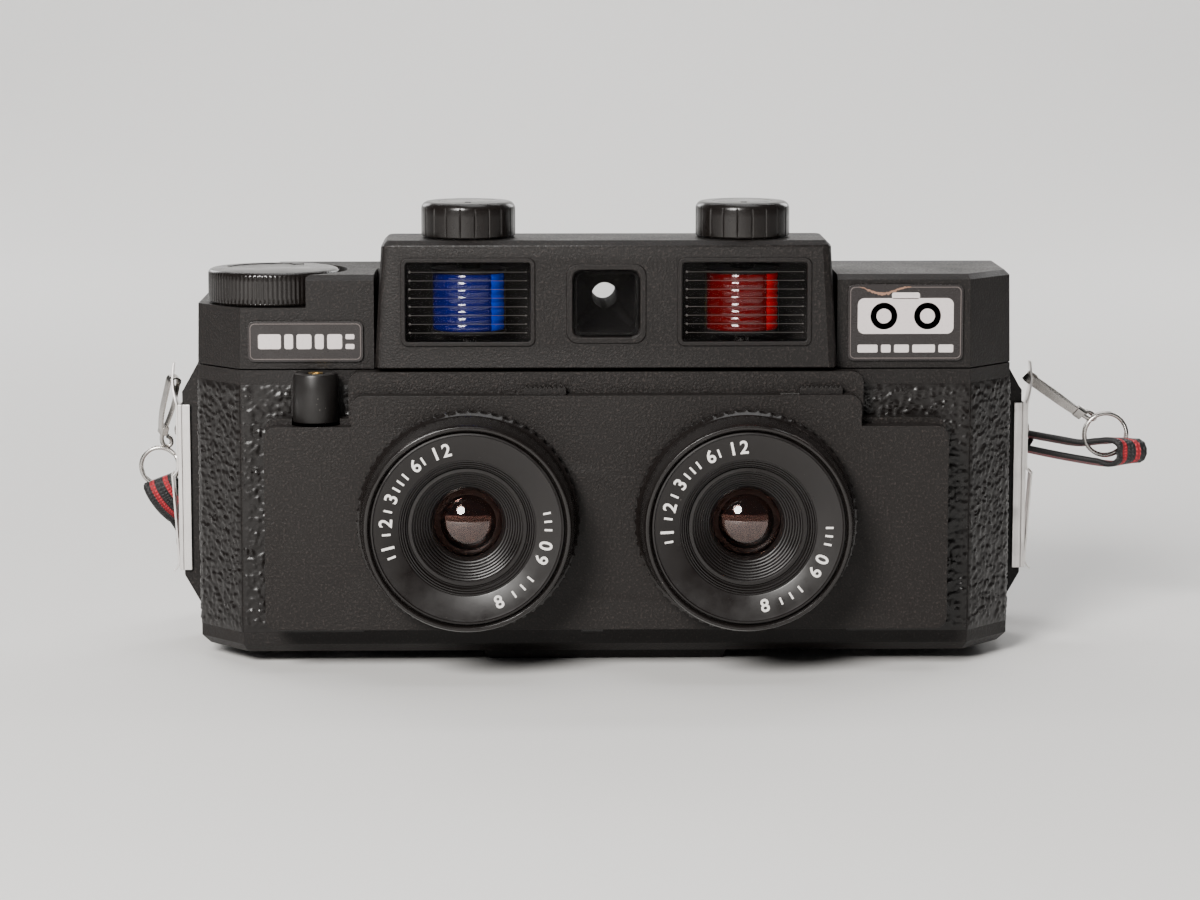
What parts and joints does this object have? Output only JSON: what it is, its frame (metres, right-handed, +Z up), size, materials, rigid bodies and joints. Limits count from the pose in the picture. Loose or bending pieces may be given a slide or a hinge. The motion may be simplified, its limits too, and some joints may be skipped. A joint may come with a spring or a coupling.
{
  "type": "stereo camera",
  "caption": "Twin-lens stereo roll-film camera with flash filter drums, winder, sprung shutter button, focusing lenses, removable back clips and a neck strap.",
  "frame": {"origin": "centre of the underside of the tripod foot, on the surface that the camera stands on", "axes": "+X along the width, to the viewer's right when facing the lenses; +Y from the lenses to the back; +Z up"},
  "size_m": [0.2438, 0.1303, 0.1072],
  "materials": {
    "grained_plastic": "leather-grain moulding",
    "moulded_plastic": "fine spark-eroded grain",
    "gloss_plastic": "gloss",
    "matt_black_inside": "dull",
    "clear_plastic": "clear moulded",
    "lens_glass": "polished",
    "blue_filter": "clear tinted",
    "red_filter": "clear tinted",
    "steel": "nickel plated",
    "reflector_chrome": "polished",
    "aluminium": "satin",
    "brass": "turned",
    "nylon_webbing": "woven",
    "circuit_board": "lacquered"
  },
  "bodies": {
    "root": {"body_shell": "grained_plastic", "back_cover": "grained_plastic", "top_cover": "moulded_plastic", "counter_window": "red_filter", "film_gate": "matt_black_inside", "shutter_base": "moulded_plastic", "lens_panel": "moulded_plastic", "shutter_spring": "steel", "flash_housing": "moulded_plastic", "flash_circuit_board": "circuit_board", "flash_capacitor": "gloss_plastic", "viewfinder_window": "clear_plastic", "viewfinder_tube": "moulded_plastic", "sticker_left": "gloss_plastic", "sticker_right": "gloss_plastic", "tripod_foot": "moulded_plastic", "tripod_bush": "brass", "strap_hank": "nylon_webbing", "strap_tie": "nylon_webbing", "strap_run_left": "nylon_webbing", "flash_window_left": "clear_plastic", "flash_reflector_left": "reflector_chrome", "flash_tube_left": "lens_glass", "strap_run_right": "nylon_webbing", "flash_window_right": "clear_plastic", "flash_reflector_right": "reflector_chrome", "flash_tube_right": "lens_glass"},
    "winder": {"winder_knob": "gloss_plastic", "take_up_spool": "matt_black_inside"},
    "supply_spool": {"supply_spool": "matt_black_inside"},
    "shutter_button": {"shutter_button": "gloss_plastic", "release_socket": "brass"},
    "counter_slider": {"counter_slider": "moulded_plastic"},
    "flash_switch": {"flash_switch": "gloss_plastic"},
    "bulb_switch": {"bulb_switch": "gloss_plastic"},
    "flash_filter_left": {"flash_knob_left": "gloss_plastic", "filter_drum_left": "blue_filter"},
    "lens_left": {"lens_cell_left": "gloss_plastic", "lens_glass_left": "lens_glass"},
    "focus_left": {"focus_ring_left": "gloss_plastic", "lens_bezel_left": "gloss_plastic"},
    "aperture_left": {"aperture_slider_left": "moulded_plastic"},
    "shutter_blade_left": {"shutter_blade_left": "steel"},
    "clip_left": {"back_clip_left": "aluminium", "snap_hook_left": "steel", "split_ring_left": "steel", "strap_end_left": "nylon_webbing"},
    "flash_filter_right": {"flash_knob_right": "gloss_plastic", "filter_drum_right": "red_filter"},
    "lens_right": {"lens_cell_right": "gloss_plastic", "lens_glass_right": "lens_glass"},
    "focus_right": {"focus_ring_right": "gloss_plastic", "lens_bezel_right": "gloss_plastic"},
    "aperture_right": {"aperture_slider_right": "moulded_plastic"},
    "shutter_blade_right": {"shutter_blade_right": "steel"},
    "clip_right": {"back_clip_right": "aluminium", "snap_hook_right": "steel", "split_ring_right": "steel", "strap_end_right": "nylon_webbing"}
  },
  "joints": [
    {"name": "winder_turn", "type": "hinge", "parent": "root", "child": "winder", "pos_m": [-0.077, -0.006, 0.0832], "axis": [0, 0, 1], "continuous": true},
    {"name": "supply_spool_turn", "type": "hinge", "parent": "root", "child": "supply_spool", "pos_m": [0.077, -0.006, 0.038], "axis": [0, 0, 1], "continuous": true},
    {"name": "shutter_press", "type": "slide", "parent": "root", "child": "shutter_button", "axis": [0, 0, -1], "range_m": [0, 0.004], "stiffness_N_per_m": 400, "springref_m": -0.001, "deforming": ["shutter_spring"]},
    {"name": "counter_slide", "type": "slide", "parent": "root", "child": "counter_slider", "axis": [1, 0, 0], "range_m": [0, 0.009]},
    {"name": "flash_switch_slide", "type": "slide", "parent": "root", "child": "flash_switch", "axis": [1, 0, 0], "range_m": [0, 0.006]},
    {"name": "bulb_switch_slide", "type": "slide", "parent": "root", "child": "bulb_switch", "axis": [1, 0, 0], "range_m": [0, 0.006]},
    {"name": "flash_filter_turn_left", "type": "hinge", "parent": "root", "child": "flash_filter_left", "pos_m": [-0.0315, -0.0161, 0.0992], "axis": [0, 0, 1], "continuous": true},
    {"name": "focus_travel_left", "type": "slide", "parent": "root", "child": "lens_left", "axis": [0, -1, 0], "range_m": [0, 0.0038]},
    {"name": "focus_turn_left", "type": "hinge", "parent": "lens_left", "child": "focus_left", "pos_m": [-0.0315, -0.0334, 0.036], "axis": [0, 1, 0], "range_deg": [0, 180]},
    {"name": "aperture_slide_left", "type": "slide", "parent": "root", "child": "aperture_left", "axis": [-1, 0, 0], "range_m": [0, 0.0041]},
    {"name": "shutter_swing_left", "type": "hinge", "parent": "root", "child": "shutter_blade_left", "pos_m": [-0.0165, -0.0265, 0.036], "axis": [0, 1, 0], "range_deg": [0, 46]},
    {"name": "clip_slide_left", "type": "slide", "parent": "root", "child": "clip_left", "axis": [0, 0, 1], "range_m": [0, 0.045]},
    {"name": "flash_filter_turn_right", "type": "hinge", "parent": "root", "child": "flash_filter_right", "pos_m": [0.0315, -0.0161, 0.0992], "axis": [0, 0, 1], "continuous": true},
    {"name": "focus_travel_right", "type": "slide", "parent": "root", "child": "lens_right", "axis": [0, -1, 0], "range_m": [0, 0.0038]},
    {"name": "focus_turn_right", "type": "hinge", "parent": "lens_right", "child": "focus_right", "pos_m": [0.0315, -0.0334, 0.036], "axis": [0, 1, 0], "range_deg": [0, 180]},
    {"name": "aperture_slide_right", "type": "slide", "parent": "root", "child": "aperture_right", "axis": [-1, 0, 0], "range_m": [0, 0.0041]},
    {"name": "shutter_swing_right", "type": "hinge", "parent": "root", "child": "shutter_blade_right", "pos_m": [0.0465, -0.0265, 0.036], "axis": [0, 1, 0], "range_deg": [0, 46]},
    {"name": "clip_slide_right", "type": "slide", "parent": "root", "child": "clip_right", "axis": [0, 0, 1], "range_m": [0, 0.045]}
  ],
  "couplings": [
    {"joint": "focus_turn_left", "follows": "focus_travel_left", "rad_per_m": 825.91},
    {"joint": "shutter_swing_left", "follows": "shutter_press", "rad_per_m": 200.28},
    {"joint": "focus_turn_right", "follows": "focus_travel_right", "rad_per_m": 825.91},
    {"joint": "shutter_swing_right", "follows": "shutter_press", "rad_per_m": 200.28}
  ]
}
